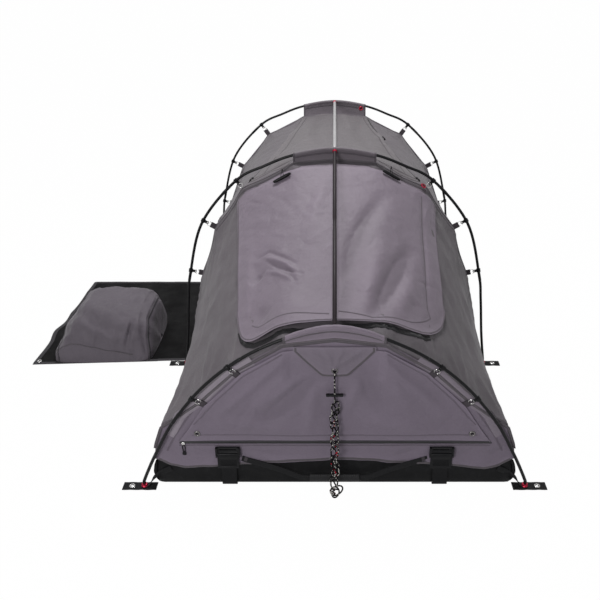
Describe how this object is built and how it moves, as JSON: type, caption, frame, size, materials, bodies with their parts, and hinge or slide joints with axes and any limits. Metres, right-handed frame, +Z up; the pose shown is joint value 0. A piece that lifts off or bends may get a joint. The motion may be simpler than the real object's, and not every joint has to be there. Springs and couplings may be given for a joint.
{
  "type": "double swag",
  "caption": "Canvas double swag on a tub floor, held up by arched poles and a ridge, with roof and side covers, carry handle, guy rope, ground mat and bag.",
  "frame": {"origin": "centre of the tub's flat underside, on the ground", "axes": "+Z up, -Y towards the foot end with the storm cover, +Y towards the head end, +X to the right seen from the foot end"},
  "size_m": [2.3655, 2.297, 1.1143],
  "materials": {
    "canvas": "matte woven canvas",
    "tub": "coated fabric, slightly shiny",
    "pole": "black anodised satin",
    "webbing": "woven webbing",
    "plastic": "moulded, lightly polished",
    "anodised": "red anodised",
    "foam": "covered foam",
    "rope": "braided cord",
    "metal": "plated"
  },
  "bodies": {
    "swag": {"boot_bag": "canvas", "buckle_frame_left": "plastic", "buckle_frame_right": "plastic", "foot_clip_high_left": "plastic", "foot_clip_high_right": "plastic", "foot_clip_middle_left": "plastic", "foot_clip_middle_right": "plastic", "foot_cover": "canvas", "foot_hoop": "pole", "foot_panel": "canvas", "foot_sleeve": "canvas", "foot_tab_left": "webbing", "foot_tab_right": "webbing", "front_canvas": "canvas", "ground_mat": "tub", "head_clip_high_left": "plastic", "head_clip_high_right": "plastic", "head_clip_low_left": "plastic", "head_clip_low_right": "plastic", "head_clip_middle_left": "plastic", "head_clip_middle_right": "plastic", "head_hoop": "pole", "head_panel": "canvas", "head_sleeve": "canvas", "head_tab_left": "webbing", "head_tab_right": "webbing", "mattress": "foam", "mid_clip_high_left": "plastic", "mid_clip_high_right": "plastic", "mid_clip_low_left": "plastic", "mid_clip_low_right": "plastic", "mid_clip_middle_left": "plastic", "mid_clip_middle_right": "plastic", "mid_hoop": "pole", "mid_sleeve": "canvas", "mid_tab_left": "webbing", "mid_tab_right": "webbing", "rear_canvas": "canvas", "ridge_fitting_front": "anodised", "ridge_fitting_rear": "anodised", "ridge_pole_front": "pole", "ridge_pole_rear": "pole", "skylight_cover": "canvas", "strap_left": "webbing", "strap_right": "webbing", "tub": "tub", "window_cover": "canvas"},
    "door_left": {"door_left": "canvas"},
    "door_right": {"door_right": "canvas"},
    "peak_flap": {"peak_flap": "canvas", "guy_rope": "rope"},
    "tensioner": {"tensioner": "plastic"},
    "carry_handle": {"handle_strap": "webbing", "handle_grip": "plastic"},
    "buckle_lever_left": {"buckle_lever_left": "plastic"},
    "buckle_lever_right": {"buckle_lever_right": "plastic"},
    "zip_slider": {"zip_slider": "metal", "zip_pull": "rope"}
  },
  "joints": [
    {"name": "door_left_hinge", "type": "hinge", "parent": "swag", "child": "door_left", "pos_m": [-0.5515, -0.0567, 0.7328], "axis": [-0.0118, 0.9982, -0.0586], "range_deg": [0, 95]},
    {"name": "door_right_hinge", "type": "hinge", "parent": "swag", "child": "door_right", "pos_m": [0.5515, -0.0567, 0.7328], "axis": [-0.0118, -0.9982, 0.0586], "range_deg": [0, 95]},
    {"name": "peak_flap_hinge", "type": "hinge", "parent": "swag", "child": "peak_flap", "pos_m": [0, -1.0809, 0.628], "axis": [-1, 0, 0], "range_deg": [0, 60], "deforming": ["guy_rope"]},
    {"name": "tensioner_slide", "type": "slide", "parent": "peak_flap", "child": "tensioner", "axis": [0, 0, 1], "range_m": [0, 0.035]},
    {"name": "carry_handle_hinge", "type": "hinge", "parent": "swag", "child": "carry_handle", "pos_m": [0, -1.0781, 0.139], "axis": [-1, 0, 0], "range_deg": [0, 90]},
    {"name": "buckle_lever_left_hinge", "type": "hinge", "parent": "swag", "child": "buckle_lever_left", "pos_m": [-0.395, -1.0874, 0.1525], "axis": [-1, 0, 0], "range_deg": [0, 80]},
    {"name": "buckle_lever_right_hinge", "type": "hinge", "parent": "swag", "child": "buckle_lever_right", "pos_m": [0.395, -1.0874, 0.1525], "axis": [-1, 0, 0], "range_deg": [0, 80]},
    {"name": "zip_slide", "type": "slide", "parent": "swag", "child": "zip_slider", "axis": [1, 0, 0], "range_m": [0, 1.166], "deforming": ["zip_pull"]}
  ]
}
